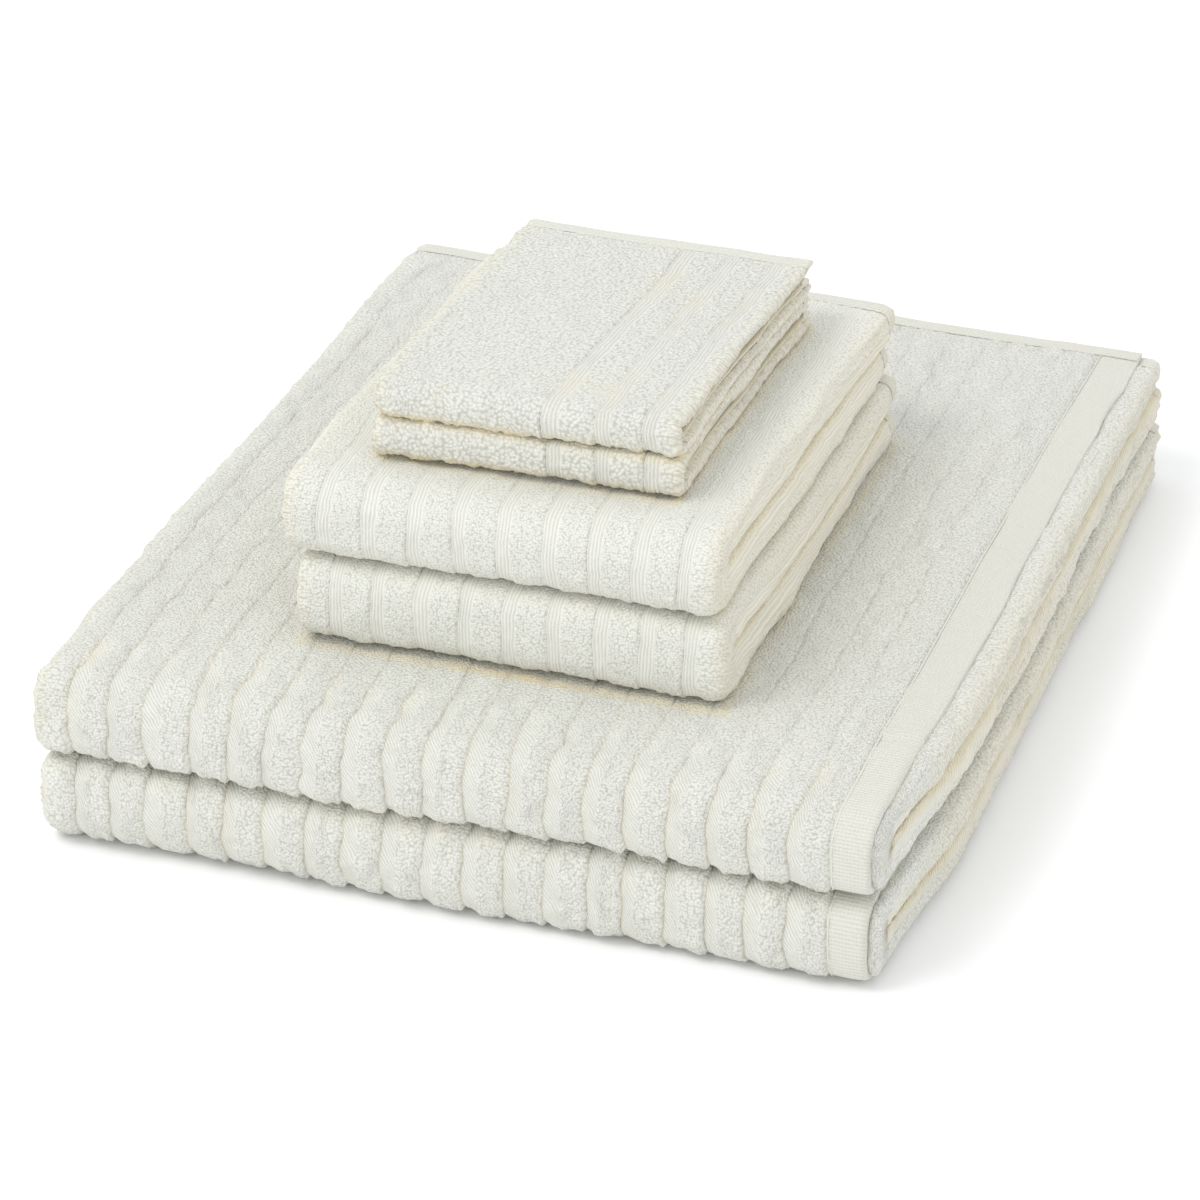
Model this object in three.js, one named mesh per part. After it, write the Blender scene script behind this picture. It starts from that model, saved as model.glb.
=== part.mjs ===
// A bath towel set: two bath towels, two hand towels and two washcloths of ribbed white terry,
// each folded and laid flat, largest at the bottom.
//
// Millimetres. X runs along the front folds, Y from the front folds to the open edges at the back, Z up.
// The origin is the middle of the footprint of the bath towels, on the surface they rest on.
//
// Every towel is folded the same way. Its length is first folded into panels that lie one on another
// (the pack). The pack is then folded once in half about the front, with its outermost panel outside.
import * as THREE from "three";

// ---- clearances and facets ---------------------------------------------------------------------
const PLY_GAP = 0.3; // air between two layers of cloth that lie on each other
const SEAM_GAP = 0.3; // air between a hem, its thread and the terry beside it
const FOLD_FACETS = 4; // flat facets that round a fold along the length
const FRONT_FACETS = 8; // flat facets that round the front fold

// ---- stitching, the same on every towel ----------------------------------------------------------
const THREAD_WIDTH = 0.6;
const THREAD_HEIGHT = 0.9;

// ---- how the whole stack sits ----------------------------------------------------------------------
// The front folds spring open and the open edges at the back lie flatter, so all heights taper.
const BACK_TAPER = 0.22; // share of its height that the stack loses from the front folds to the back

// ---- the three kinds of towel ------------------------------------------------------------------------
// length, width: the cloth laid out flat.
// ease: how much wider the folded towel is than one even share of the cloth's length.
// ply: the height that one layer of cloth takes up at the front folds.
// order: which layer of the pack each panel becomes, from one end of the cloth to the other; 1 is outermost.
// firstFold: the side of the pack where the first two panels of that order are joined.
// hemSetback: how far an outermost end hem stops short of the folds beneath it.
// endHem, sideHem: widths of the turned hems at the cloth's ends and along its sides.
const BATH = {
  length: 1400,
  width: 700,
  ease: 8,
  ply: 3.3,
  order: [1, 5, 2, 4, 3],
  firstFold: "left",
  hemSetback: 8,
  endHem: 15,
  sideHem: 8,
};
const HAND = {
  length: 700,
  width: 400,
  ease: 4,
  ply: 3.15,
  order: [3, 2, 1, 5, 4],
  firstFold: "right",
  hemSetback: 0,
  endHem: 15,
  sideHem: 8,
};
const WASH = {
  length: 300,
  width: 300,
  ease: 2,
  ply: 2.4,
  order: [2, 1, 3],
  firstFold: "right",
  hemSetback: 0,
  endHem: 10,
  sideHem: 7,
};

// ---- the stack, from the bottom: each towel's middle, seen from above ----------------------------------
const STACK = [
  { name: "bath_towel_lower", kind: BATH, x: 0, y: 0 },
  { name: "bath_towel_upper", kind: BATH, x: 0, y: 0 },
  { name: "hand_towel_lower", kind: HAND, x: 1, y: -28 },
  { name: "hand_towel_upper", kind: HAND, x: -2, y: -28 },
  { name: "washcloth_lower", kind: WASH, x: -1, y: -31 },
  { name: "washcloth_upper", kind: WASH, x: -1, y: -31 },
];

// ---- materials -------------------------------------------------------------------------------------------
const fabric = (color, roughness) => () => new THREE.MeshStandardMaterial({ color, roughness, metalness: 0 });
const TERRY = fabric(0xf1f0ea, 0.95);
const FLAT_WEAVE = fabric(0xefede3, 0.85);
const THREAD = fabric(0xf7f6f0, 0.7);

// ---- sizes that follow from a kind of towel ----------------------------------------------------------------
const towelAcross = (kind) => kind.length / kind.order.length + kind.ease;
const packHeight = (kind) => kind.order.length * kind.ply;
// The middle layer takes half of its width to go round the front fold and back; the rest lies flat.
const towelDepth = (kind) => (kind.width - (Math.PI * packHeight(kind)) / 2) / 2 + packHeight(kind);

// The folds of a pack: the side each is on, and how many layers apart its two panels lie.
function packFolds(kind) {
  const sides = kind.firstFold === "left" ? ["left", "right"] : ["right", "left"];
  return kind.order.slice(1).map((layer, i) => ({ side: sides[i % 2], span: Math.abs(layer - kind.order[i]) }));
}

// Where the folds on one side turn: far enough in for the widest of them to end at the towel's side.
function turningLine(kind, side) {
  const spans = packFolds(kind).filter((fold) => fold.side === side).map((fold) => fold.span);
  const reach = ((Math.max(...spans) + 1) * kind.ply) / 2;
  return side === "left" ? reach - towelAcross(kind) / 2 : towelAcross(kind) / 2 - reach;
}

// The lengths of the panels in order. An outermost end panel reaches the hem's setback; the tucked end
// panels share what the full ones and the folds leave over.
function panelLengths(kind) {
  const full = turningLine(kind, "right") - turningLine(kind, "left");
  const lengths = kind.order.map(() => full);
  const inFolds = packFolds(kind).reduce((sum, fold) => sum + (Math.PI * fold.span * kind.ply) / 2, 0);
  const last = lengths.length - 1;
  if (kind.order[0] === 1) lengths[0] = towelAcross(kind) / 2 - kind.hemSetback - turningLine(kind, "left");
  const inside = lengths.slice(1, last).reduce((sum, one) => sum + one, 0);
  const spare = kind.length - inFolds - inside;
  if (kind.order[0] === 1) lengths[last] = spare - lengths[0];
  else lengths[0] = lengths[last] = spare / 2;
  return lengths;
}

// The pack's profile, seen along Y: straight panels joined by half-round folds, measured from one end of
// the cloth to the other. x is across the towel, s the height in the pack from its outer face, and dir
// says which way along X the cloth runs before the fold.
function packProfile(kind) {
  const lengths = panelLengths(kind);
  const middle = (layer) => (layer - 0.5) * kind.ply;
  const pieces = [];
  let start = 0;
  let dir = kind.firstFold === "left" ? -1 : 1;
  kind.order.forEach((layer, i) => {
    const towards = turningLine(kind, dir < 0 ? "left" : "right");
    const from = i === 0 ? towards - dir * lengths[i] : turningLine(kind, dir < 0 ? "right" : "left");
    pieces.push({ start, span: lengths[i], x: from, s: middle(layer), dir });
    start += lengths[i];
    if (i === kind.order.length - 1) return;
    const rise = middle(kind.order[i + 1]) - middle(layer);
    const radius = Math.abs(rise) / 2;
    const fold = { start, span: Math.PI * radius, x: towards, s: middle(layer) + rise / 2, dir };
    pieces.push({ ...fold, radius, turn: Math.sign(rise) });
    start += fold.span;
    dir = -dir;
  });
  return pieces;
}

// The point at one distance along the profile, n off the middle of the cloth towards its face.
function profilePoint(profile, distance, n) {
  const piece = profile.find((one) => distance <= one.start + one.span + 1e-9) ?? profile[profile.length - 1];
  const along = distance - piece.start;
  if (!piece.radius) return { x: piece.x + piece.dir * along, s: piece.s + piece.dir * n };
  const angle = along / piece.radius;
  const reach = piece.radius - piece.turn * piece.dir * n;
  return {
    x: piece.x + piece.dir * reach * Math.sin(angle),
    s: piece.s - piece.turn * reach * Math.cos(angle),
  };
}

// The distances between two places on the profile where the cloth needs a row of points.
function rowsBetween(profile, start, end) {
  const rows = [start, end];
  for (const piece of profile) {
    const steps = piece.radius ? FOLD_FACETS : 1;
    for (let k = 0; k <= steps; k++) rows.push(piece.start + (piece.span * k) / steps);
  }
  return rows
    .filter((d) => d >= start && d <= end)
    .sort((a, b) => a - b)
    .filter((d, i, all) => i === 0 || d - all[i - 1] > 1e-6);
}

// Places across the cloth's width: "lower" and "upper" are distances in from the open edge of that half,
// "front" is an angle round the front fold.
const edgeBand = (half, a, b) => [{ half, at: a }, { half, at: b }];
function acrossWidth(inFromEdges) {
  const places = [{ half: "lower", at: inFromEdges }];
  for (let k = 0; k <= FRONT_FACETS; k++) places.push({ half: "front", at: (Math.PI * k) / FRONT_FACETS });
  places.push({ half: "upper", at: inFromEdges });
  return places;
}

// A point of the pack, folded in half about the front and set down at its place in the stack.
function placed(spot, { x, s }, place) {
  const pack = packHeight(spot.kind);
  const half = towelDepth(spot.kind) / 2;
  let y = half - place.at;
  let z = place.half === "lower" ? s : 2 * pack - s;
  if (place.half === "front") {
    y = pack - half - (pack - s) * Math.sin(place.at);
    z = pack - (pack - s) * Math.cos(place.at);
  }
  return pressed(spot.x + x, spot.y + y, spot.height + z - PLY_GAP / 2);
}

// The taper of the whole stack towards the back.
function pressed(x, y, z) {
  const depth = towelDepth(BATH);
  return [x, y, z * (1 - BACK_TAPER * (y / depth + 0.5))];
}

// One closed strip of cloth: rows along its length, places across its width, and its height.
function strip(spot, profile, rows, places, height) {
  const points = [-height / 2, height / 2].flatMap((n) =>
    rows.flatMap((row) => places.map((place) => placed(spot, profilePoint(profile, row, n), place))),
  );
  const lastRow = rows.length - 1;
  const lastPlace = places.length - 1;
  const at = (side, row, place) => (side * rows.length + row) * places.length + place;
  const faces = [];
  const quad = (a, b, c, d) => faces.push([a, b, c], [a, c, d]);
  for (let r = 0; r < lastRow; r++) {
    for (let c = 0; c < lastPlace; c++) {
      quad(at(0, r, c), at(0, r, c + 1), at(0, r + 1, c + 1), at(0, r + 1, c));
      quad(at(1, r, c), at(1, r + 1, c), at(1, r + 1, c + 1), at(1, r, c + 1));
    }
    quad(at(0, r, 0), at(0, r + 1, 0), at(1, r + 1, 0), at(1, r, 0));
    quad(at(0, r, lastPlace), at(1, r, lastPlace), at(1, r + 1, lastPlace), at(0, r + 1, lastPlace));
  }
  for (let c = 0; c < lastPlace; c++) {
    quad(at(0, 0, c), at(1, 0, c), at(1, 0, c + 1), at(0, 0, c + 1));
    quad(at(0, lastRow, c), at(0, lastRow, c + 1), at(1, lastRow, c + 1), at(1, lastRow, c));
  }
  return facingOut(points, faces);
}

// A geometry from points and faces, turned so that its faces point outwards.
function facingOut(points, faces) {
  const corner = new THREE.Vector3();
  const volume = faces.reduce((sum, face) => {
    const [a, b, c] = face.map((i) => new THREE.Vector3(...points[i]));
    return sum + a.dot(corner.crossVectors(b, c));
  }, 0);
  const geometry = new THREE.BufferGeometry();
  geometry.setAttribute("position", new THREE.Float32BufferAttribute(points.flat(), 3));
  geometry.setIndex(faces.flatMap(([a, b, c]) => (volume > 0 ? [a, b, c] : [a, c, b])));
  geometry.computeVertexNormals();
  return geometry;
}

// One towel: the terry, a hem along each of its four edges and the row of stitching inside each hem.
function towel(spot) {
  const { kind, name } = spot;
  const group = new THREE.Group();
  const profile = packProfile(kind);
  const clothHeight = kind.ply - PLY_GAP;
  const add = (part, rows, places, height, material) => {
    const mesh = new THREE.Mesh(strip(spot, profile, rows, places, height), material());
    mesh.name = `${name}_${part}`;
    group.add(mesh);
  };

  const seam = SEAM_GAP + THREAD_WIDTH;
  const past = seam + SEAM_GAP; // from a hem, across its thread, to the terry
  const middle = acrossWidth(kind.sideHem + past);
  const terryRows = rowsBetween(profile, kind.endHem + past, kind.length - kind.endHem - past);
  add("terry", terryRows, middle, clothHeight, TERRY);

  const bands = { first: (a, b) => [a, b], last: (a, b) => [kind.length - b, kind.length - a] };
  for (const [end, band] of Object.entries(bands)) {
    const rows = (a, b) => rowsBetween(profile, ...band(a, b));
    add(`end_hem_${end}`, rows(0, kind.endHem), middle, clothHeight, FLAT_WEAVE);
    add(`end_hem_${end}_thread`, rows(kind.endHem + SEAM_GAP, kind.endHem + seam), middle, THREAD_HEIGHT, THREAD);
  }

  const whole = rowsBetween(profile, 0, kind.length);
  for (const half of ["lower", "upper"]) {
    const seamBand = edgeBand(half, kind.sideHem + SEAM_GAP, kind.sideHem + seam);
    add(`side_hem_${half}`, whole, edgeBand(half, 0, kind.sideHem), clothHeight, FLAT_WEAVE);
    add(`side_hem_${half}_thread`, whole, seamBand, THREAD_HEIGHT, THREAD);
  }
  return group;
}

const set = new THREE.Group();
set.name = "bath_towel_set";
let height = 0;
for (const { name, kind, x, y } of STACK) {
  set.add(towel({ name, kind, x, y, height }));
  height += 2 * packHeight(kind);
}

export default set;
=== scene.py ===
# %% [markdown]
# # A stack of six folded towels
#
# Two bath towels, two hand towels and two washcloths of ribbed white terry, folded and laid flat on each
# other. Each towel is one long cloth, folded into panels along its length and then once in half. The cloth
# is made the way it is folded: a point on the flat cloth is looked up on the folded one, so the ribs, the
# hems and the stitching all go round the folds as they do on a real towel.

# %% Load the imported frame
import itertools
import math

import bpy
import numpy as np
from mathutils import Matrix, Vector


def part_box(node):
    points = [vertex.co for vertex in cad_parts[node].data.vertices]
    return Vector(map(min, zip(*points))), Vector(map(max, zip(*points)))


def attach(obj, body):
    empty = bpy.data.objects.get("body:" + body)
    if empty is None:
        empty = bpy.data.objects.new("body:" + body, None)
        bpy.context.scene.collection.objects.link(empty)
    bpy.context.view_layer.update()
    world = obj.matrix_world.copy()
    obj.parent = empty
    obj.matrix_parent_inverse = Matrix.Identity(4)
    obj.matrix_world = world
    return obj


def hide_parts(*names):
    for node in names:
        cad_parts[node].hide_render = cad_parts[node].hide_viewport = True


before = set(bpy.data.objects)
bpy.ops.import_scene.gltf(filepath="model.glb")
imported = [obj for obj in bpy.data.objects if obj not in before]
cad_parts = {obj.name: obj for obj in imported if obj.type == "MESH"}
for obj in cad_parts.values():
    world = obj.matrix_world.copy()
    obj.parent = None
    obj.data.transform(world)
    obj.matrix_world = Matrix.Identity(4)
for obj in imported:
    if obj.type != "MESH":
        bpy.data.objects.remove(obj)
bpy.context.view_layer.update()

# %% [markdown]
# ## Camera
#
# A long lens from far away keeps the edges of the stack nearly parallel. The camera stands in front, a
# little to the right, and looks down at 30 degrees.

# %% Camera
AZIMUTH = math.radians(18.44)
ELEVATION = math.radians(30.19)
DISTANCE = 1.7683
AIM = Vector((-0.0074, -0.0117, 0.0250))

back = Vector((
    math.sin(AZIMUTH) * math.cos(ELEVATION),
    -math.cos(AZIMUTH) * math.cos(ELEVATION),
    math.sin(ELEVATION),
))
right = Vector((math.cos(AZIMUTH), math.sin(AZIMUTH), 0))
camera = bpy.data.objects.new("camera", bpy.data.cameras.new("camera"))
camera.data.sensor_width = 36
camera.data.lens = 156.8
camera.data.clip_end = 30
turn = Matrix((right, back.cross(right), back)).transposed().to_4x4()
camera.matrix_world = Matrix.Translation(AIM + back * DISTANCE) @ turn
bpy.context.scene.collection.objects.link(camera)
bpy.context.scene.camera = camera
print("camera stands at", [round(c, 3) for c in camera.matrix_world.translation])

# %% [markdown]
# ## Floor and light
#
# White cloth on a white floor is read by its shading alone. Most of the light comes from a bright even
# sky, which leaves only soft shade in the creases. One big lamp, high in front and to the left, gives
# every rib a lit side and leaves the right side of the stack a tone darker.


# %% Floor, lamps and sky
def soft_lamp(name, place, aim, size, power):
    """A square lamp turned towards a point."""
    lamp = bpy.data.lights.new(name, "AREA")
    lamp.size = size
    lamp.energy = power
    holder = bpy.data.objects.new(name, lamp)
    holder.location = place
    holder.rotation_euler = (Vector(aim) - Vector(place)).to_track_quat("-Z", "Y").to_euler()
    bpy.context.scene.collection.objects.link(holder)


def studio():
    """A white floor, one big lamp and an even sky."""
    floor_mesh = bpy.data.meshes.new("floor")
    corners = [(-4, -4, 0), (4, -4, 0), (4, 4, 0), (-4, 4, 0)]
    floor_mesh.from_pydata(corners, [], [(0, 1, 2, 3)])
    paint = bpy.data.materials.new("studio_floor")
    paint.use_nodes = True
    surface = paint.node_tree.nodes["Principled BSDF"]
    surface.inputs["Base Color"].default_value = (1, 1, 1, 1)
    surface.inputs["Roughness"].default_value = 0.9
    surface.inputs["Specular IOR Level"].default_value = 0.1
    floor_mesh.materials.append(paint)
    floor = bpy.data.objects.new("floor", floor_mesh)
    bpy.context.scene.collection.objects.link(floor)

    soft_lamp("key", (-0.75, -0.95, 2.1), aim=(0, 0, 0.05), size=0.9, power=15)
    sky = bpy.data.worlds.new("sky")
    sky.use_nodes = True
    background = sky.node_tree.nodes["Background"]
    background.inputs["Color"].default_value = (0.97, 0.985, 1, 1)
    background.inputs["Strength"].default_value = 1.0
    bpy.context.scene.world = sky
    bpy.context.scene.view_settings.view_transform = "Standard"


studio()

# %% [markdown]
# ## The three kinds of towel
#
# All lengths are in millimetres. `ply` is the thickness of one layer, and `order` says which layer of the
# folded pack each panel of the cloth becomes, 1 being outermost. `outside` says which face of the cloth
# ends up outside, and `shown` which stretches of it can be seen, counted in panels and folds from one end.
# `pitch` is the width of one rib and `groove_at` the place of one groove. The front fold springs open:
# `hollow` is the share by which the flat part sinks beside it, and `droop` how far its top hangs down.
#
# The whole stack is lower at the back by a share of `BACK_TAPER`. Folds at the sides are pressed nearly
# square, by `SIDE_SQUARE`. Round the front fold the outermost face is `OUTER_STRETCH` times as long as the
# middle of the pack. The top hem of the bath towels has one pinched crease across it, at `HEM_PINCH_AT`
# from front to back.

# %% Sizes of the cloths
PLY_GAP = 0.3
BACK_TAPER = 0.22
SIDE_SQUARE = 0.85
OUTER_STRETCH = 1.85
HEM_PINCH_AT = -118
BATH = dict(
    label="bath", length=1400, width=700, ease=8, ply=3.3, order=(1, 5, 2, 4, 3), first_fold="left",
    hem_setback=8, end_hem=15, side_hem=8, outside=1, shown=((0, 1), (3, 3)),
    pitch=13.3, groove_at=107.9, hollow=0.17, droop=3.5,
)
HAND = dict(
    label="hand", length=700, width=400, ease=4, ply=3.15, order=(3, 2, 1, 5, 4), first_fold="right",
    hem_setback=0, end_hem=15, side_hem=8, outside=-1, shown=((3, 5), (7, 7)),
    pitch=14.9, groove_at=-1.0, hollow=0.20, droop=2.0,
)
WASH = dict(
    label="wash", length=300, width=300, ease=2, ply=2.4, order=(2, 1, 3), first_fold="right",
    hem_setback=0, end_hem=10, side_hem=7, outside=1, shown=((1, 3),),
    pitch=16.2, groove_at=6.8, hollow=0.22, droop=1.2,
)
STACK_DEPTH = (BATH["width"] - math.pi * 5 * BATH["ply"] / 2) / 2 + 5 * BATH["ply"]
STACK = (
    ("bath_towel_lower", BATH), ("bath_towel_upper", BATH), ("hand_towel_lower", HAND),
    ("hand_towel_upper", HAND), ("washcloth_lower", WASH), ("washcloth_upper", WASH),
)

# %% [markdown]
# ## Unevenness
#
# Nothing about a towel is quite straight. A smooth random field gives all of its wander: random numbers on
# a grid, blended between the grid's corners. The numbers come from the grid cell itself, so each run gives
# the same cloth.


# %% Smooth random wander
def grid_number(seed, cell):
    """A fixed random number from -1 to 1 for each grid cell."""
    mixed = np.full(cell[0].shape, (seed * 2654435761) & 0xFFFFFFFF, np.uint64)
    low_half = np.uint64(0xFFFFFFFF)
    for part, factor in zip(cell, (374761393, 668265263, 2246822519)):
        mixed = mixed ^ (((part & 0xFFFFFFFF).astype(np.uint64) * np.uint64(factor)) & low_half)
        mixed = ((mixed ^ (mixed >> np.uint64(15))) * np.uint64(2246822519)) & low_half
        mixed = ((mixed ^ (mixed >> np.uint64(13))) * np.uint64(3266489917)) & low_half
    return mixed.astype(np.float64) / 2**31 - 1


def wander(seed, *at):
    """Smooth noise from -1 to 1 that turns about once in each unit of its coordinates."""
    at = np.broadcast_arrays(*[np.asarray(a, float) for a in at])
    cells = [np.floor(a).astype(np.int64) for a in at]
    eased = [(a - c) ** 2 * (3 - 2 * (a - c)) for a, c in zip(at, cells)]
    total = np.zeros(at[0].shape)
    for corner in itertools.product((0, 1), repeat=len(at)):
        weight = np.ones(at[0].shape)
        for share, step in zip(eased, corner):
            weight = weight * (share if step else 1 - share)
        total += weight * grid_number(seed, [c + step for c, step in zip(cells, corner)])
    return total


def smooth(start, end, value):
    """0 before start, 1 after end, and a smooth rise between."""
    share = np.clip((np.asarray(value, float) - start) / (end - start), 0, 1)
    return share * share * (3 - 2 * share)


print("wander at three places:", wander(1, np.array([0.2, 1.4, 2.9])).round(3))

# %% [markdown]
# ## Folding
#
# `across` folds the length of the cloth into its panels. `point` then folds that pack in half about the
# front and sets it down at its place in the stack. Both take a place on the flat cloth: `u` along its
# length, `v` across its width, and `n`, how far off the middle of the cloth's thickness.


# %% A folded towel
def squared_turn(power=0.55, steps=600):
    """A half turn whose circle is pressed towards a square, walked at an even pace."""
    angle = np.linspace(0, math.pi, steps)
    out = np.sin(angle).clip(0, 1) ** power
    up = -np.sign(np.cos(angle)) * np.abs(np.cos(angle)) ** power
    walked = np.concatenate([[0], np.cumsum(np.hypot(np.diff(out), np.diff(up)))])
    return walked / walked[-1], out, up


TURN_SHARE, TURN_OUT, TURN_UP = squared_turn()


def half_turn(share, square):
    """How far out and up a fold has got after a share of its turn; square is from 0, round, to 1."""
    out = (1 - square) * np.sin(share * math.pi) + square * np.interp(share, TURN_SHARE, TURN_OUT)
    up = -(1 - square) * np.cos(share * math.pi) + square * np.interp(share, TURN_SHARE, TURN_UP)
    return out, up


class Towel:
    """One folded towel: its panels and folds, its place in the stack and its own seed for the wander."""

    def __init__(self, name, kind, height, seed):
        self.name, self.kind, self.height, self.seed = name, kind, height, seed
        self.on_top = name.endswith("upper")
        self.nodes = [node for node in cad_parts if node.startswith(name + "_")]
        lows, highs = zip(*(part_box(node) for node in self.nodes))
        self.x = (min(c.x for c in lows) + max(c.x for c in highs)) * 500
        self.y = (min(c.y for c in lows) + max(c.y for c in highs)) * 500
        self.pack = len(kind["order"]) * kind["ply"]
        self.flat = (kind["width"] - math.pi * self.pack / 2) / 2
        self.bend = math.pi * self.pack / 2
        self.half = (self.flat + self.pack) / 2
        self.wide = kind["length"] / len(kind["order"]) + kind["ease"]
        self.fold_length()

    def turning(self, side):
        """Where the folds on one side turn, so that the widest of them ends at the towel's side."""
        reach = (max(gap for where, gap in self.folds if where == side) + 1) * self.kind["ply"] / 2
        return reach - self.wide / 2 if side == "left" else self.wide / 2 - reach

    def fold_length(self):
        """The panels and folds in order: start, span, x, s, direction, radius and turn of each."""
        kind, order, ply = self.kind, self.kind["order"], self.kind["ply"]
        sides = ("left", "right") if kind["first_fold"] == "left" else ("right", "left")
        self.folds = [(sides[i % 2], abs(b - a)) for i, (a, b) in enumerate(zip(order, order[1:]))]
        full = self.turning("right") - self.turning("left")
        lengths = [full] * len(order)
        if order[0] == 1:
            lengths[0] = self.wide / 2 - kind["hem_setback"] - self.turning("left")
        spare = kind["length"] - sum(math.pi * gap * ply / 2 for _, gap in self.folds) - sum(lengths[1:-1])
        lengths[-1] = spare - lengths[0]
        if order[0] != 1:
            lengths[0] = lengths[-1] = spare / 2
        rows, start, way = [], 0.0, -1 if sides[0] == "left" else 1
        for i, layer in enumerate(order):
            turn_at = self.turning("left" if way < 0 else "right")
            begin = turn_at - way * lengths[i] if i == 0 else self.turning("right" if way < 0 else "left")
            rows.append((start, lengths[i], begin, (layer - 0.5) * ply, way, 0.0, 0))
            start += lengths[i]
            if i + 1 < len(order):
                rise = (order[i + 1] - layer) * ply
                radius = abs(rise) / 2
                span, middle = math.pi * radius, (layer - 0.5) * ply + rise / 2
                rows.append((start, span, turn_at, middle, way, radius, np.sign(rise)))
                start += span
                way = -way
        self.pieces = np.array(rows)
        outer = self.pieces[2 * order.index(1)]
        self.sense = outer[4]
        self.rib_zero = outer[0] + (kind["groove_at"] - outer[2]) / outer[4]

    def across(self, u, n):
        """Place in the pack: x across the towel, s in from the pack's outer face."""
        which = np.clip(np.searchsorted(self.pieces[:, 0], u, side="right") - 1, 0, len(self.pieces) - 1)
        start, _, x, s, way, radius, turn = (self.pieces[which, k] for k in range(7))
        along = u - start
        share = along / np.where(radius > 0, radius * math.pi, 1)
        reach = radius - turn * way * n
        out, up = half_turn(np.clip(share, 0, 1), SIDE_SQUARE)
        bent_x, bent_s = x + way * reach * out, s + turn * reach * up
        return np.where(radius > 0, bent_x, x + way * along), np.where(radius > 0, bent_s, s + way * n)

    def past_bend(self, v):
        """How far a place across the width lies from the front fold; below 0 it is in the fold."""
        return np.maximum(self.flat - v, v - self.flat - self.bend)

    def squareness(self, x, share):
        """Where a towel lies on another its fold is pressed square, and where it is free it stays round."""
        below = 0.9 if self.height > 0 else 0.15 + 0.55 * smooth(-self.wide / 2, self.wide / 3, x)
        above = 0.1 if self.on_top else 0.85
        return below + (above - below) * smooth(0.35, 0.65, share)

    def point(self, u, v, n):
        """The folded place of a point of the cloth, in metres."""
        u, v, n = np.broadcast_arrays(np.asarray(u, float), np.asarray(v, float), np.asarray(n, float))
        x, s = self.across(u, n)
        from_bend = self.past_bend(v)
        closed = smooth(self.wide / 2 - 26, self.wide / 2 - 4, np.abs(x))
        s = s * (1 - self.kind["hollow"] * smooth(60, 8, from_bend) * (1 - 0.85 * closed))
        x = x - np.sign(x) * closed * 1.8 * np.abs(wander(self.seed + 12, s / 4, v / 38))
        setback = self.kind["hem_setback"]
        past_hem = np.maximum(x - (self.wide / 2 - setback - 3), 0)
        x = x - 0.62 * past_hem * smooth(70, -6, from_bend) * (setback > 0)
        share = np.clip((v - self.flat) / self.bend, 0, 1)
        from_edge = np.minimum(v, self.kind["width"] - v)
        out, up = half_turn(share, self.squareness(x, share))
        level = np.where(v <= self.flat, s, 2 * self.pack - s)
        y = np.where(from_bend < 0, self.pack - self.half - (self.pack - s) * out, self.half - from_edge)
        z = np.where(from_bend < 0, self.pack + (self.pack - s) * up, level)
        if self.on_top:
            z = z - self.kind["droop"] * smooth(45, -8, from_bend) * (z / (2 * self.pack)) ** 2
        upper = (v > self.flat).astype(int)
        long_wave = 1.3 * wander(self.seed + 3, u / 60, upper * 7.0)
        short_wave = 0.5 * wander(self.seed + 4, u / 14, upper * 7.0)
        y = y + (long_wave + short_wave) * smooth(60, 0, from_edge)
        return settle(self.x + x, self.y + y, self.height + z - PLY_GAP / 2)


def settle(x, y, z):
    """The whole stack presses flatter towards the back, and nothing in it is quite straight."""
    z = z * (1 - BACK_TAPER * (y / STACK_DEPTH + 0.5))
    lifted = smooth(0, 25, z)
    shift_x = 1.5 * wander(11, x / 80, y / 100, z / 26) + 0.4 * wander(14, x / 25, y / 30, z / 14)
    shift_y = 1.2 * wander(12, x / 70, y / 90, z / 26) + 0.4 * wander(15, x / 22, y / 30, z / 14)
    shift_z = 0.8 * wander(13, x / 55, y / 60, z / 70) * lifted
    return np.stack([x + shift_x, y + shift_y, np.maximum(z + shift_z, 0.15)], axis=-1) / 1000


towels, height = [], 0
for place, (name, kind) in enumerate(STACK):
    towels.append(Towel(name, kind, height, 100 * place + 20))
    height += 2 * towels[-1].pack
    print(name, "panels and folds, mm:", towels[-1].pieces[:, 1].round(1).tolist())

# %% [markdown]
# ## Ribs and pile
#
# Terry is a ground cloth with loops standing on it. The ribs are woven by leaving the loops out along a
# narrow line. Each kind has its own rib: fat and rounded on the bath towels, a few flat cords and then
# loops on the hand towels, and half plain, half corded on the washcloths. The pile is real shape here, so
# that it shows along the edges and in the shadows.

# %% Shape of one rib of each kind
BATH_STEPS = (0.0, 0.05, 0.11, 0.19, 0.29, 0.4, 0.51, 0.62, 0.72, 0.81, 0.88, 0.93, 0.97)
FIELD_STEPS = (0.33, 0.40, 0.47, 0.54, 0.61, 0.68, 0.75, 0.82, 0.88, 0.92, 0.95, 0.98)
CORD_STEPS = tuple(np.arange(16) * 0.02) + FIELD_STEPS


def bath_rib(t, ribs, open_fold):
    """Pile over one rib, from 0 to 1: a slow rise and a steep end at the front, a mere slit on top."""
    slit = smooth(1.0, 0.94, t) * smooth(0, 0.05, t)
    return (1 - open_fold * (0.72 - 0.72 * smooth(-0.05, 0.45, t))) * slit


def corded_rib(t, ribs, open_fold):
    """Four low cords beside the groove, then a level field of loops."""
    cords = 0.48 + 0.16 * np.abs(np.sin(np.clip(t / 0.30, 0, 1) * 4 * math.pi))
    field = smooth(0.29, 0.36, t) * smooth(1.0, 0.94, t)
    return np.maximum(cords * smooth(0, 0.02, t) * smooth(1.0, 0.98, t), field)


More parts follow.
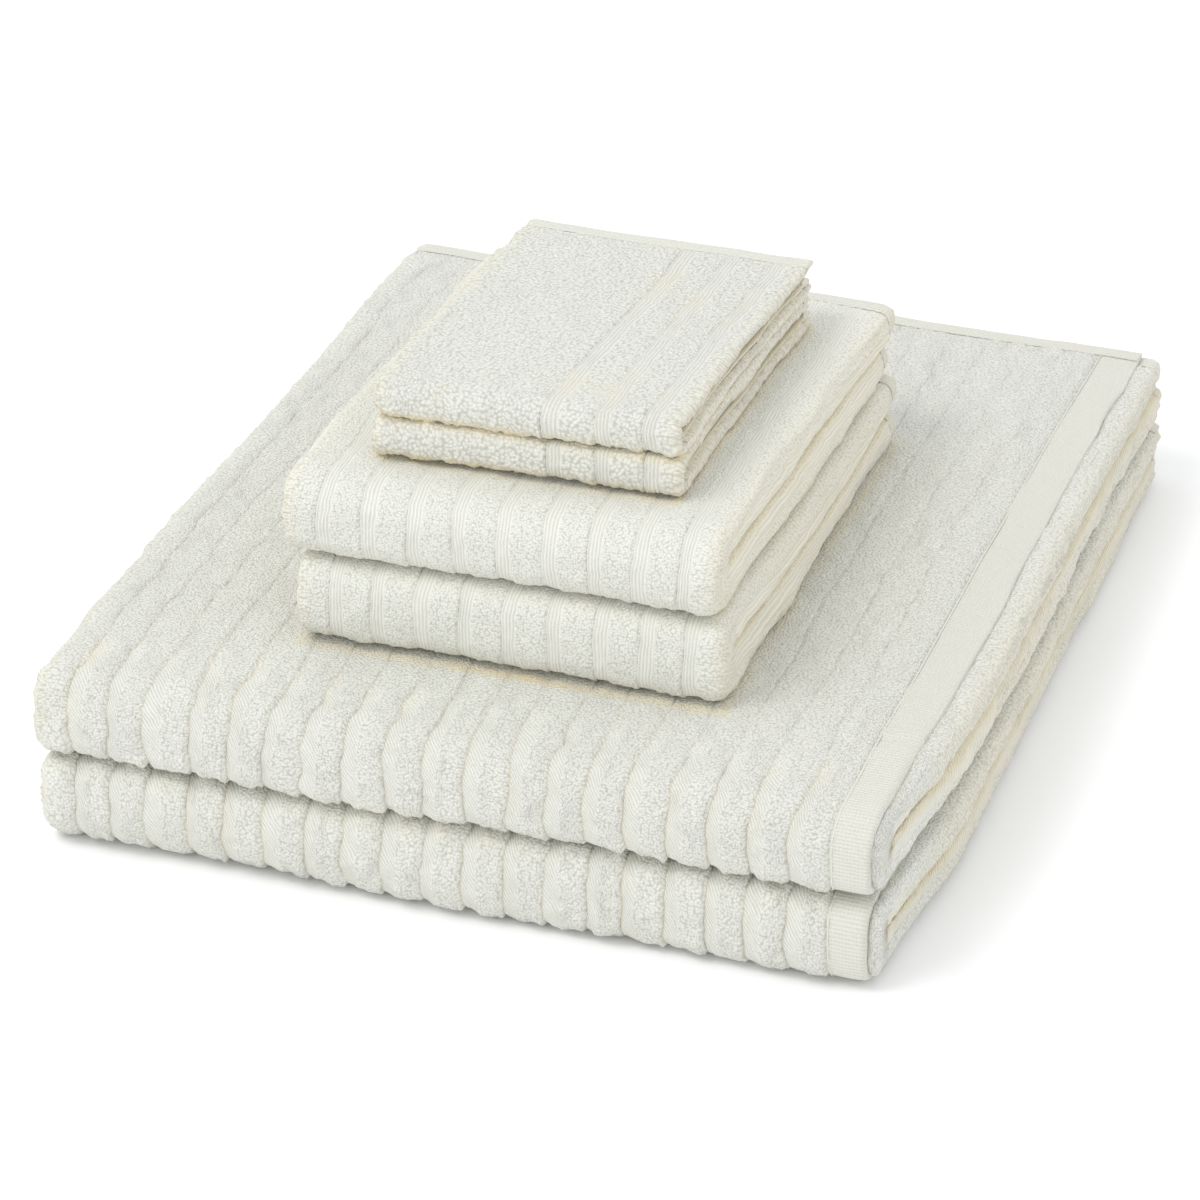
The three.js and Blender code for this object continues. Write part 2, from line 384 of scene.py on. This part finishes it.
def wash_rib(t, ribs, open_fold):
    """Plain loops on the left, corded ribs on the right."""
    return np.where(ribs < 0, 1.0, corded_rib(t, ribs, open_fold))


RIBS = {"bath": bath_rib, "hand": corded_rib, "wash": wash_rib}
FLUFF = {"bath": 1.6, "hand": 1.0, "wash": 1.4}


def rib_depth(towel, v):
    """Ribs open up round the front fold and are pressed flatter on top."""
    from_bend = towel.past_bend(v)
    to_back = np.clip(from_bend / towel.flat, 0, 1)
    if towel.kind is BATH:
        return 0.75 + 0.95 * smooth(30, -4, from_bend) - 0.2 * to_back
    if towel.kind is HAND:
        return 0.45 + 0.55 * smooth(20, -4, from_bend) - 0.1 * to_back
    return 0.6 + 0.4 * smooth(15, -3, from_bend)


def outer_length(towel, v):
    """Distance across the width along the outermost layer, which goes further round the front fold."""
    stretched = towel.flat + (v - towel.flat) * OUTER_STRETCH
    last = towel.flat + towel.bend * OUTER_STRETCH + (v - towel.flat - towel.bend)
    return np.where(v < towel.flat, v, np.where(v < towel.flat + towel.bend, stretched, last))


def pile_height(towel, ribs, v):
    """How far the face of the pile stands off the middle of the cloth, in millimetres."""
    from_bend = towel.past_bend(v)
    shape = RIBS[towel.kind["label"]](ribs - np.floor(ribs), ribs, smooth(55, 5, from_bend))
    along, walked = ribs * towel.kind["pitch"], outer_length(towel, v)
    proud = 0.35 * smooth(12, -6, from_bend)
    crest = towel.kind["ply"] / 2 - 0.08 + proud
    tufts = 0.42 * wander(towel.seed + 6, along / 5, walked / 6)
    lumps = tufts + 0.30 * wander(towel.seed + 7, along / 2.4, walked / 2.6)
    dents = 0.35 * wander(towel.seed + 5, along / 24, walked / 26)
    grain = 0.30 * wander(towel.seed + 8, along / 1.2, walked / 1.2)
    open_pile = 0.5 + 0.5 * smooth(24, -4, from_bend)
    loose = FLUFF[towel.kind["label"]] * (lumps + grain) * smooth(0.2, 0.8, shape) * open_pile
    return crest + rib_depth(towel, v) * (shape - 1) + dents + loose


for shape, steps in ((bath_rib, BATH_STEPS), (corded_rib, CORD_STEPS)):
    print(shape.__name__, shape(np.array(steps), np.array(steps), 1.0).round(2).tolist())

# %% [markdown]
# ## From patches to one cloth
#
# A piece of cloth is put together from patches of quads. The patches that can be seen are fine, and the
# ones deep inside the pack are coarse. Each point also keeps its place on the flat cloth, for the weave,
# and how much painted warm shade it gets, most deep in a crease or groove.


# %% Patches and pieces
class Cloth:
    """The patches of one piece, gathered before they become a mesh."""

    def __init__(self):
        self.points, self.quads, self.flat_places, self.depths, self.count = [], [], [], [], 0

    def add(self, points, flat_place, depth, outward):
        """One grid of points, with its quads turned to face outward."""
        rows, columns = points.shape[:2]
        index = np.arange(rows * columns).reshape(rows, columns) + self.count
        corners = [index[:-1, :-1], index[:-1, 1:], index[1:, 1:], index[1:, :-1]]
        quads = np.stack(corners, axis=-1).reshape(-1, 4)
        r, c = rows // 2 - (rows == 2), columns // 2 - (columns == 2)
        facing = np.cross(points[r, c + 1] - points[r, c], points[r + 1, c] - points[r, c])
        if facing @ outward[r, c] < 0:
            quads = quads[:, ::-1]
        self.points.append(points.reshape(-1, 3))
        self.quads.append(quads)
        self.flat_places.append(np.stack(np.broadcast_arrays(*flat_place), axis=-1).reshape(-1, 2))
        self.depths.append(np.broadcast_to(depth, (rows, columns)).reshape(-1))
        self.count += rows * columns


# %% Mesh objects
def make_piece(name, cloth, material, body, node):
    """One mesh object from a cloth's patches, riding on its towel's body."""
    points, quads = np.concatenate(cloth.points), np.concatenate(cloth.quads)
    mesh = bpy.data.meshes.new(name)
    mesh.from_pydata(points.tolist(), [], quads.tolist())
    corner_points = np.empty(len(mesh.loops), np.int32)
    mesh.loops.foreach_get("vertex_index", corner_points)
    places = np.concatenate(cloth.flat_places)[corner_points].astype(np.float32)
    mesh.uv_layers.new(name="cloth").data.foreach_set("uv", places.ravel())
    depths = mesh.attributes.new("depth", "FLOAT", "POINT")
    depths.data.foreach_set("value", np.concatenate(cloth.depths).astype(np.float32))
    mesh.shade_smooth()
    mesh.materials.append(material)
    piece = bpy.data.objects.new(name, mesh)
    bpy.context.scene.collection.objects.link(piece)
    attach(piece, body)
    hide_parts(node)
    return piece


def stretch(start, end, step):
    """Evenly spaced places from start to end."""
    return np.linspace(start, end, max(2, math.ceil((end - start) / step) + 1))


# %% [markdown]
# ## The terry
#
# The seen stretches of each cloth are sampled rib by rib, so that every groove has its own row of points
# even where it wanders. The far face and the hidden panels only need to follow the folds. Across the cloth
# the rows of points stand closest round the front fold, where it bends most.


# %% Places across the cloth
def width_places(towel, start, end, under, front, top):
    """Places across the cloth: along the lower half, round the front fold and along the upper half."""
    parts = [
        stretch(start, towel.flat, under),
        stretch(towel.flat, towel.flat + towel.bend, front / 2)[1:],
        stretch(towel.flat + towel.bend, end, top)[1:],
    ]
    return np.concatenate(parts)[None, :]


print("places across a washcloth:", width_places(towels[-1], 7, 293, 12, 2.4, 12).size)

# %% [markdown]
# ## Painted warm shade in the creases
#
# Light bounced between two white cloths turns warm, and here that warm shade is painted into the colour.
# The painted shade is kept to a narrow strip along each crease, so that a towel that is lifted leaves only
# a faint outline on the cloth below.

# %% Painted shade in a crease
# How fast the painted warm shade fades above a crease, in millimetres.
PAINTED_SHADE_RISE = 1.3


def past_outline(towel, x, y):
    """How far a place lies outside a towel's outline; below 0 it lies under or in the towel."""
    return np.maximum(np.abs(x - towel.x) - towel.wide / 2, np.abs(y - towel.y) - towel.half)


def under_cover(beyond):
    """How much the painted warm shade has faded at a place inside the outline of the towel that covers it."""
    return np.maximum(-beyond - 2, 0) / 1.5


def painted_crease_shade(towel, points, s):
    """Painted warm shade: 1 deep in the crease between this towel and the next or between its halves, 0 in
    the open.
    """
    x, y, z = (points[..., k] * 1000 for k in range(3))
    level = z / (1 - BACK_TAPER * (y / STACK_DEPTH + 0.5))
    below = level - towel.height
    above = towel.height + 2 * towel.pack - level
    beyond = past_outline(towel, x, y)
    lower_crease_shade = np.exp(-np.maximum(below, 0) / PAINTED_SHADE_RISE - under_cover(beyond)) * (towel.height > 0)
    middle_crease_shade = 0.45 * smooth(towel.pack - 5, towel.pack - 1, s) * smooth(-30, -4, beyond)
    deep = np.maximum(lower_crease_shade, middle_crease_shade)
    # The sides of the towel get a little painted warm shade as well.
    at_side = np.abs(x - towel.x) - towel.wide / 2 + 7
    deep = np.maximum(deep, smooth(0, 8, at_side) * 0.25)
    # Painted warm shade also lies round the outline of the towel resting on this one.
    covers = [t for t in towels if abs(t.height - towel.height - 2 * towel.pack) < 0.1]
    for cover in covers:
        beyond = past_outline(cover, x, y)
        beside = np.maximum(beyond, 0) / 0.8
        in_front = 0.35 + 0.65 * smooth(-10, 0, cover.y - cover.half - y)
        fade = -np.maximum(above, 0) / PAINTED_SHADE_RISE - under_cover(beyond) - beside
        deep = np.maximum(deep, in_front * np.exp(fade))
    return deep


seam = np.array([[[towels[0].x, towels[0].y - towels[0].half, 2 * towels[0].pack]]]) / 1000
print("depth where the bath towels meet:", painted_crease_shade(towels[0], seam, np.zeros((1, 1))).round(2).item())

# %% [markdown]
# ## Fine and coarse patches
#
# A fine patch carries the ribs and the pile. It runs out under each hem, thinner and thinner, so that the
# hem lies on it without a step. A coarse patch is plain cloth a little below the pile. Where a coarse one
# would show beside a hem, the fine one goes on under it by `UNDER_HEM` instead.


# %% Patches of the terry
def shown_rows(towel, start, end):
    """Rib coordinates of the rows between two places along the cloth, every rib sampled the same way."""
    steps = np.array(BATH_STEPS if towel.kind is BATH else CORD_STEPS)
    first, last = sorted(towel.sense * (np.array([start, end]) - towel.rib_zero) / towel.kind["pitch"])
    ribs = (np.arange(math.floor(first), math.ceil(last) + 1)[:, None] + steps[None, :]).ravel()
    inside = ribs[(ribs > first + 0.01) & (ribs < last - 0.01)]
    return np.concatenate([[first], inside, [last]])[:, None]


def shown_patch(towel, cloth, start, end, v):
    """A fine patch of the pile between two places along the cloth."""
    kind, side = towel.kind, towel.kind["outside"]
    ribs = shown_rows(towel, start, end)
    u_straight = towel.rib_zero + towel.sense * kind["pitch"] * ribs
    inward = smooth(0, 10, np.minimum(u_straight - start, end - u_straight))
    walked = outer_length(towel, v)
    long_sway = 1.2 * wander(towel.seed + 1, ribs * 0.8, walked / 45)
    sway = long_sway + 0.8 * wander(towel.seed + 2, ribs * 2.3, walked / 9)
    jagged = 0.45 * wander(towel.seed + 10, ribs * 3, walked / 2.8)
    u = u_straight + (sway + jagged) * (1 if kind is BATH else 0.5) * inward
    to_side_hem = np.minimum(v, kind["width"] - v) - kind["side_hem"]
    to_end_hem = np.minimum(u, kind["length"] - u) - kind["end_hem"]
    at_hem = np.minimum(to_side_hem, to_end_hem)
    tall = pile_height(towel, ribs, v) - 0.1
    n = side * (0.1 + tall * smooth(-0.3, 1.4, at_hem))
    points = towel.point(u, v, n)
    outward = towel.point(u, v, n + side * 0.1) - points
    # Painted warm shade in the grooves, and in the creases.
    groove = smooth(0.55, 0.0, (tall - 0.1) / (kind["ply"] / 2))
    depth = np.maximum(0.22 * groove, painted_crease_shade(towel, points, towel.across(u, n)[1]))
    cloth.add(points, (ribs + 0 * v, outer_length(towel, v) + 0 * ribs), depth, outward)


def plain_patch(towel, cloth, pieces, side, v, step):
    """A coarse patch over some panels and folds, on one face of the cloth."""
    kind = towel.kind
    rows = []
    for start, span, _, _, _, radius, _ in pieces:
        rows.append(stretch(start, start + span, radius / 2 if radius else step))
    u = np.unique(np.concatenate(rows).round(4))
    u = u[(u > kind["end_hem"] - 0.5) & (u < kind["length"] - kind["end_hem"] + 0.5)][:, None]
    n = side * (kind["ply"] / 2 - 0.7)
    points = towel.point(u, v, n)
    outward = towel.point(u, v, n + side * 0.1) - points
    ribs = towel.sense * (u - towel.rib_zero) / kind["pitch"]
    # The coarse hidden patches get a faint even painted warm shade.
    cloth.add(points, (ribs + 0 * v, outer_length(towel, v) + 0 * u), 0.15, outward)


print("rows over two ribs of a bath towel:", shown_rows(towels[0], 100, 126.6).ravel().round(2).tolist())


# %% One towel's terry
UNDER_HEM = 12


def terry_sheet(towel):
    """The ribbed field of one towel, both faces, between its hems."""
    kind, side, cloth = towel.kind, towel.kind["outside"], Cloth()
    start, end = kind["side_hem"] - 0.6, kind["width"] - kind["side_hem"] + 0.6
    under = 6.0 if kind is BATH else 2.4
    fine = {"bath": 1.95, "hand": 1.1, "wash": 0.9}[kind["label"]]
    v = width_places(towel, start, end, under, 1.2, fine if towel.on_top else 3.0)
    v_side = width_places(towel, start, end, 1.8, 1.2, 1.8)
    v_coarse = width_places(towel, start, end, 12, 2.4, 12)
    pieces = towel.pieces
    hidden = []
    for k in range(len(pieces)):
        group = next((g for g in kind["shown"] if g[0] <= k <= g[1]), None)
        if group is None:
            hidden.append(k)
        elif k == group[0]:
            lone_fold = group[0] == group[1]
            first = max(pieces[k, 0], kind["end_hem"] - 0.6)
            ends_at = pieces[group[1], 0] + pieces[group[1], 1] + (UNDER_HEM if lone_fold else 0)
            last = min(ends_at, kind["length"] - kind["end_hem"] + 0.6)
            shown_patch(towel, cloth, first, last, v_side if lone_fold else v)
    for k in hidden:
        plain_patch(towel, cloth, pieces[k:k + 1], side, v_coarse, 14)
    plain_patch(towel, cloth, pieces, -side, v_coarse, 14)
    return cloth


# %% [markdown]
# ## Hems
#
# A hem is the cloth's edge, woven flat without loops, turned over and sewn down. It is a thin, slightly
# puffed band with a crisp outer edge.


# %% Hem bands
def band(towel, u, v, across_band, thickness, pressed=0):
    """A closed band: two faces and the rims between them, its edge `pressed` mm into the pile below."""
    cloth = Cloth()
    rounded = (1 - 0.6 * np.exp(-np.minimum(across_band, 1 - across_band) * 40)) + 0 * u + 0 * v
    fine_ripple = 0.15 * wander(towel.seed + 9, u / 9, v / 9)
    ripple = fine_ripple + 0.25 * wander(towel.seed + 11, u / 25, v / 30)
    if towel.name == "bath_towel_upper":
        at = v - towel.kind["width"] + towel.half - HEM_PINCH_AT + 4 * across_band + 1.5 * wander(3, u / 5)
        ripple = ripple + 0.8 * np.exp(-((at / 1.6) ** 2)) - 0.5 * np.exp(-(((at + 4) / 3.0) ** 2))
    sunk = 0.45 + 0.8 * np.exp(-across_band * 7)
    faces = {}
    for side in (1, -1):
        n = side * thickness / 2 * rounded + (ripple - sunk) * towel.kind["outside"]
        if side != towel.kind["outside"]:
            n = n + side * pressed * np.exp(-across_band * 5)
        points = towel.point(u, v, n)
        outward = towel.point(u, v, n + side * 0.1) - points
        # Painted warm shade where the hem lies in a crease.
        depth = painted_crease_shade(towel, points, towel.across(u + 0 * v, n)[1])
        cloth.add(points, (u + 0 * v, outer_length(towel, v) + 0 * u), depth, outward)
        faces[side] = points
    for rim in (np.s_[0, :], np.s_[-1, :], np.s_[:, 0], np.s_[:, -1]):
        ends = np.stack([faces[1][rim], (faces[1][rim] + faces[-1][rim]) / 2, faces[-1][rim]])
        inner = faces[1][faces[1].shape[0] // 2, faces[1].shape[1] // 2]
        outward = np.broadcast_to(ends[1, ends.shape[1] // 2] - inner, ends.shape)
        place_u = np.broadcast_to(u + 0 * v, faces[1].shape[:2])[rim]
        place_v = np.broadcast_to(outer_length(towel, v) + 0 * u, faces[1].shape[:2])[rim]
        # The rims get a faint even painted warm shade.
        cloth.add(ends, (np.stack([place_u] * 3), np.stack([place_v] * 3)), 0.1, outward)
    return cloth


def end_hem(towel, last):
    """The hem across one end of the cloth; only the first one of a bath towel is seen."""
    kind = towel.kind
    seen = kind["order"][0] == 1 and not last
    start, end = kind["side_hem"], kind["width"] - kind["side_hem"]
    top = (1.5 if towel.on_top else 3) if seen else 8
    v = width_places(towel, start, end, 4, 1.2 if seen else 4, top)
    inside = np.array([0, 0.02, 0.07, 0.2, 0.35, 0.5, 0.65, 0.8, 0.93, 0.98, 1])[:, None]
    u = inside * kind["end_hem"]
    if last:
        u = kind["length"] - u[::-1]
    return band(towel, u, v, inside, 2.0 if kind is not WASH else 1.4, 1.8 if seen else 0)


def whole_length(towel, step):
    """Places along the whole cloth, close together round each fold."""
    rows = [stretch(p[0], p[0] + p[1], max(p[5] / 2, 0.6) if p[5] else step) for p in towel.pieces]
    return np.unique(np.concatenate(rows).round(4))


def side_hem(towel, half):
    """The hem along one side of the cloth, at the back edge of the lower or upper half."""
    kind = towel.kind
    inside = np.array([0, 0.05, 0.15, 0.35, 0.6, 0.85, 0.95, 1])[None, :]
    v = inside * kind["side_hem"]
    if half == "upper":
        v = kind["width"] - v[:, ::-1]
    return band(towel, whole_length(towel, 2.5)[:, None], v, inside, 2.2)


print("rows along a washcloth's side hem:", whole_length(towels[-1], 2.5).size)

# %% [markdown]
# ## Stitching
#
# A lockstitch has one thread on each face. Each thread runs along the cloth for a stitch, dips into it and
# comes up again, so it is made as one thin wavy tube per face.


# %% Stitched threads
STITCH = 2.8
THREAD_RADIUS = 0.26
SEAM_IN = 0.9


def thread_tube(towel, cloth, along, place, side, crosswise):
    """One thread along the cloth, `place` in from its edge, that dips once for each stitch."""
    turns = np.linspace(0, 2 * math.pi, 6)[None, :]
    surface = 1.0 if towel.kind is not WASH else 0.7
    lift = surface - 0.25 + 0.45 * np.sqrt(np.abs(np.sin(along / STITCH * math.pi)))[:, None]
    n = side * (lift + THREAD_RADIUS * np.sin(turns)) - 0.45 * towel.kind["outside"]
    offset, walk = place + THREAD_RADIUS * np.cos(turns) + 0 * n, along[:, None] + 0 * n
    u, v = (offset, walk) if crosswise else (walk, offset)
    points = towel.point(u, v, n)
    outward = points - points.mean(axis=1, keepdims=True)
    cloth.add(points, (along[:, None] + 0 * n, turns + 0 * n), 0.0, outward)


def end_thread(towel, last):
    """The stitching of the hem across one end."""
    kind, cloth = towel.kind, Cloth()
    seen = kind["order"][0] == 1 and not last
    u = kind["end_hem"] - SEAM_IN
    along = stretch(kind["side_hem"], kind["width"] - kind["side_hem"], 0.47 if seen else 1.4)
    for side in (1, -1):
        thread_tube(towel, cloth, along, kind["length"] - u if last else u, side, True)
    return cloth


def side_thread(towel, half):
    """The stitching of the hem along one side."""
    kind, cloth = towel.kind, Cloth()
    v = kind["side_hem"] - SEAM_IN
    place = kind["width"] - v if half == "upper" else v
    for side in (1, -1):
        thread_tube(towel, cloth, stretch(0, kind["length"], 0.56), place, side, False)
    return cloth


print("stitches along one side of a bath towel:", round(BATH["length"] / STITCH))

# %% [markdown]
# ## Cotton
#
# Terry scatters light between its loops, so it has no gloss, a soft sheen at grazing angles, and shadows
# that turn warm. Each finish has a light color, a darker painted shade between the loops, and a warm
# painted shade deep down in creases and grooves. The loops are a cell pattern on the flat cloth's own
# coordinates, and a finer one stands for the fibres. Beside each groove the loops give way to fine slanting
# lines or cords.


# %% Node helpers
def add_node(tree, kind, at, **settings):
    """A new node at a place on the node editor's canvas."""
    made = tree.nodes.new(kind)
    made.location = at
    for key, value in settings.items():
        setattr(made, key, value)
    return made


def math_node(tree, operation, first, second, at):
    """The result of one sum; each input is a number or another node's output."""
    made = add_node(tree, "ShaderNodeMath", at, operation=operation)
    for socket, value in zip(made.inputs, (first, second)):
        if isinstance(value, (int, float)):
            socket.default_value = value
        elif value is not None:
            tree.links.new(value, socket)
    return made.outputs[0]


def scaled(tree, vector, factors, at):
    """The vector with each part multiplied."""
    made = add_node(tree, "ShaderNodeVectorMath", at, operation="MULTIPLY")
    tree.links.new(vector, made.inputs[0])
    made.inputs[1].default_value = factors
    return made.outputs[0]


def between(tree, value, low, high, at):
    """A smooth 0 to 1 from low to high."""
    made = add_node(tree, "ShaderNodeMapRange", at, interpolation_type="SMOOTHSTEP")
    tree.links.new(value, made.inputs["Value"])
    made.inputs["From Min"].default_value = low
    made.inputs["From Max"].default_value = high
    return made.outputs["Result"]


# The warm painted shade of creases and grooves, standing for light bounced between white cloths.
PAINTED_WARM_SHADE = (0.86, 0.70, 0.36, 1)


def cotton_surface(name, roughness, sheen):
    """A matt material with a soft sheen, and its node tree and surface node."""
    material = bpy.data.materials.new(name)
    material.use_nodes = True
    surface = material.node_tree.nodes["Principled BSDF"]
    surface.inputs["Roughness"].default_value = roughness
    surface.inputs["Specular IOR Level"].default_value = 0.15
    surface.inputs["Sheen Weight"].default_value = sheen
    surface.inputs["Sheen Roughness"].default_value = 0.6
    return material, material.node_tree, surface


def cotton_color(tree, surface, shade, light, painted_hollow_shade):
    """White cotton with painted shade: darker between the loops, and a warm painted shade where it lies deep.
    """
    # Painted shade between the loops: the low parts of the bump get the darker colour.
    shaded_weave = add_node(tree, "ShaderNodeMix", (-300, 400), data_type="RGBA")
    shaded_weave.inputs["A"].default_value = painted_hollow_shade
    shaded_weave.inputs["B"].default_value = light
    tree.links.new(shade, shaded_weave.inputs["Factor"])
    # The painted warm shade: the point attribute says how much of it each place gets.
    depth = add_node(tree, "ShaderNodeAttribute", (-520, 560), attribute_name="depth")
    crease = add_node(tree, "ShaderNodeMix", (-100, 400), data_type="RGBA")
    painted_shade_share = math_node(tree, "MULTIPLY", depth.outputs["Fac"], 0.85, (-300, 580))
    tree.links.new(painted_shade_share, crease.inputs["Factor"])
    tree.links.new(shaded_weave.outputs["Result"], crease.inputs["A"])
    crease.inputs["B"].default_value = PAINTED_WARM_SHADE
    tree.links.new(crease.outputs["Result"], surface.inputs["Base Color"])


def raise_surface(tree, surface, height, distance):
    """Bump the surface by the height, `distance` meters at most."""
    bump = add_node(tree, "ShaderNodeBump", (-200, -300))
    bump.inputs["Distance"].default_value = distance
    bump.inputs["Strength"].default_value = 1
    tree.links.new(height, bump.inputs["Height"])
    tree.links.new(bump.outputs["Normal"], surface.inputs["Normal"])


# %% Terry of each kind
def terry(name, kind, loop, line_end, lines, slant, deep):
    """Terry whose loops are `loop` mm wide, with `lines` fine lines over the first part of each rib."""
    material, tree, surface = cotton_surface(name, 0.95, 0.25)
    pitch = kind["pitch"]
    towel = next(towel for towel in towels if towel.kind is kind)
    front_end = outer_length(towel, np.array(towel.flat + towel.bend)).item()
    place = add_node(tree, "ShaderNodeUVMap", (-1800, 0), uv_map="cloth").outputs["UV"]
    parts = add_node(tree, "ShaderNodeSeparateXYZ", (-1600, 200))
    tree.links.new(place, parts.inputs[0])

    cells = add_node(tree, "ShaderNodeTexVoronoi", (-1200, 0), voronoi_dimensions="2D", feature="F1")
    cells.inputs["Scale"].default_value = 1
    cells.inputs["Randomness"].default_value = 0.8
    tree.links.new(scaled(tree, place, (pitch / loop, 1 / loop, 1), (-1400, 0)), cells.inputs["Vector"])
    loops = math_node(tree, "SUBTRACT", 1.0, cells.outputs["Distance"], (-1000, 0))

    fibres = add_node(tree, "ShaderNodeTexNoise", (-1200, -300), noise_dimensions="2D")
    fibres.inputs["Scale"].default_value = 1
    fibres.inputs["Detail"].default_value = 2
    tree.links.new(scaled(tree, place, (pitch / 0.45, 1 / 0.45, 1), (-1400, -300)), fibres.inputs["Vector"])

    along_rib = math_node(tree, "FRACT", parts.outputs["X"], None, (-1400, 400))
    past_lines = between(tree, along_rib, line_end, line_end + 0.08, (-1200, 500))
    lined = math_node(tree, "SUBTRACT", 1.0, past_lines, (-1000, 500))
    if kind is WASH:
        ribbed = between(tree, parts.outputs["X"], -0.02, 0.02, (-1200, 700))
        lined = math_node(tree, "MULTIPLY", lined, ribbed, (-900, 600))
    if kind is BATH:
        behind = between(tree, parts.outputs["Y"], front_end + 22, front_end - 2, (-1200, 900))
        lined = math_node(tree, "MULTIPLY", lined, behind, (-900, 800))
    phase_x = math_node(tree, "MULTIPLY", along_rib, 2 * math.pi * lines / line_end, (-1200, 300))
    phase_y = math_node(tree, "MULTIPLY", parts.outputs["Y"], slant, (-1200, 200))
    phase = math_node(tree, "ADD", phase_x, phase_y, (-1000, 300))
    slanted = math_node(tree, "SINE", phase, None, (-850, 300))
    line_height = math_node(tree, "MULTIPLY_ADD", slanted, 0.17, (-700, 300))
    line_height.node.inputs[2].default_value = 0.55

    blend = add_node(tree, "ShaderNodeMix", (-600, 0), data_type="FLOAT")
    tree.links.new(lined, blend.inputs["Factor"])
    tree.links.new(loops, blend.inputs["A"])
    tree.links.new(line_height, blend.inputs["B"])
    rough = math_node(tree, "MULTIPLY", fibres.outputs["Fac"], 0.4, (-800, -300))
    height = math_node(tree, "ADD", blend.outputs["Result"], rough, (-400, -200))
    raise_surface(tree, surface, height, deep)
    # Painted shade: the low parts of the loops' bump are coloured darker.
    shade = between(tree, height, 0.4, 1.05, (-500, 300))
    cotton_color(tree, surface, shade, light=(0.85, 0.848, 0.785, 1), painted_hollow_shade=(0.63, 0.62, 0.545, 1))
    return material


TERRY = {
    "bath": terry("bath_terry", BATH, 0.95, line_end=0.34, lines=4.0, slant=2 * math.pi / 1.7, deep=0.0006),
    "hand": terry("hand_terry", HAND, 0.85, line_end=0.30, lines=4.0, slant=0.0, deep=0.0004),
    "wash": terry("wash_terry", WASH, 1.3, line_end=0.30, lines=4.0, slant=0.0, deep=0.00075),
}
print("terry made for:", list(TERRY))

# %% [markdown]
# ## Flat weave and thread
#
# A hem has no loops. Its threads are two waves across each other, the one along the cloth being fainter,
# with a little random fibre on top. The sewing thread is smoother and shows only its twist.


# %% Hem cloth and sewing thread
def canvas(name, cells):
    """The flat weave of a hem: rows of threads across it, with a fainter row the other way."""
    material, tree, surface = cotton_surface(name, 0.85, 0.15)
    place = add_node(tree, "ShaderNodeUVMap", (-1400, 0), uv_map="cloth").outputs["UV"]
    parts = add_node(tree, "ShaderNodeSeparateXYZ", (-1200, 0))
    tree.links.new(place, parts.inputs[0])
    waves = []
    for axis, cell, y in (("X", cells[0], 200), ("Y", cells[1], 0)):
        phase = math_node(tree, "MULTIPLY", parts.outputs[axis], 2 * math.pi / cell, (-1000, y))
        waves.append(math_node(tree, "SINE", phase, None, (-850, y)))
    rows = math_node(tree, "MULTIPLY", waves[1], 0.24, (-700, 0))
    woven = math_node(tree, "MULTIPLY_ADD", waves[0], 0.08, (-550, 100))
    tree.links.new(rows, woven.node.inputs[2])
    fibres = add_node(tree, "ShaderNodeTexNoise", (-1000, -300), noise_dimensions="2D")
    fibres.inputs["Scale"].default_value = 2.5
    tree.links.new(place, fibres.inputs["Vector"])
    height = math_node(tree, "ADD", woven, fibres.outputs["Fac"], (-500, 0))
    raise_surface(tree, surface, height, 0.0003)
    # Painted shade: the low parts of the weave's bump are coloured darker.
    shade = between(tree, height, -0.3, 0.9, (-500, 300))
    cotton_color(tree, surface, shade, light=(0.80, 0.79, 0.715, 1), painted_hollow_shade=(0.62, 0.61, 0.53, 1))
    return material


def sewing_thread(name):
    """A smooth twisted thread, a little glossier than the cloth."""
    material, tree, surface = cotton_surface(name, 0.6, 0.1)
    place = add_node(tree, "ShaderNodeUVMap", (-1000, 0), uv_map="cloth").outputs["UV"]
    twist = add_node(tree, "ShaderNodeTexWave", (-700, 0), bands_direction="DIAGONAL")
    twist.inputs["Scale"].default_value = 1
    tree.links.new(scaled(tree, place, (0.7, 0.25, 1), (-850, 0)), twist.inputs["Vector"])
    raise_surface(tree, surface, twist.outputs["Fac"], 0.0001)
    # Painted shade in the grooves of the twist.
    cotton_color(tree, surface, twist.outputs["Fac"], light=(0.88, 0.87, 0.81, 1), painted_hollow_shade=(0.76, 0.75, 0.67, 1))
    return material


CANVAS = canvas("hem_canvas", (1.2, 1.3))
THREAD = sewing_thread("sewing_thread")
print("also made:", CANVAS.name, THREAD.name)

# %% [markdown]
# ## Sewing the towels
#
# Every towel gets its terry, its four hems and the stitching of each.

# %% Make every towel
def sewn_hem(node, body, hem, stitches):
    """One hem and its stitching as pieces of their own."""
    return [
        make_piece(node + "_band", hem, CANVAS, body, node),
        make_piece(node + "_stitches", stitches, THREAD, body, node + "_thread"),
    ]


for below, towel in zip([None] + towels[:-1], towels):
    name, kind = towel.name, towel.kind
    field = TERRY[kind["label"]]
    sheet = make_piece(name + "_terry_sheet", terry_sheet(towel), field, name, name + "_terry")
    sewn = []
    for end in ("first", "last"):
        last = end == "last"
        sewn += sewn_hem(name + "_end_hem_" + end, name, end_hem(towel, last), end_thread(towel, last))
    for half in ("lower", "upper"):
        sewn += sewn_hem(name + "_side_hem_" + half, name, side_hem(towel, half), side_thread(towel, half))
    hem_quads = sum(len(piece.data.polygons) for piece in sewn)
    print(name, "quads:", len(sheet.data.polygons), "and in its hems and threads:", hem_quads)
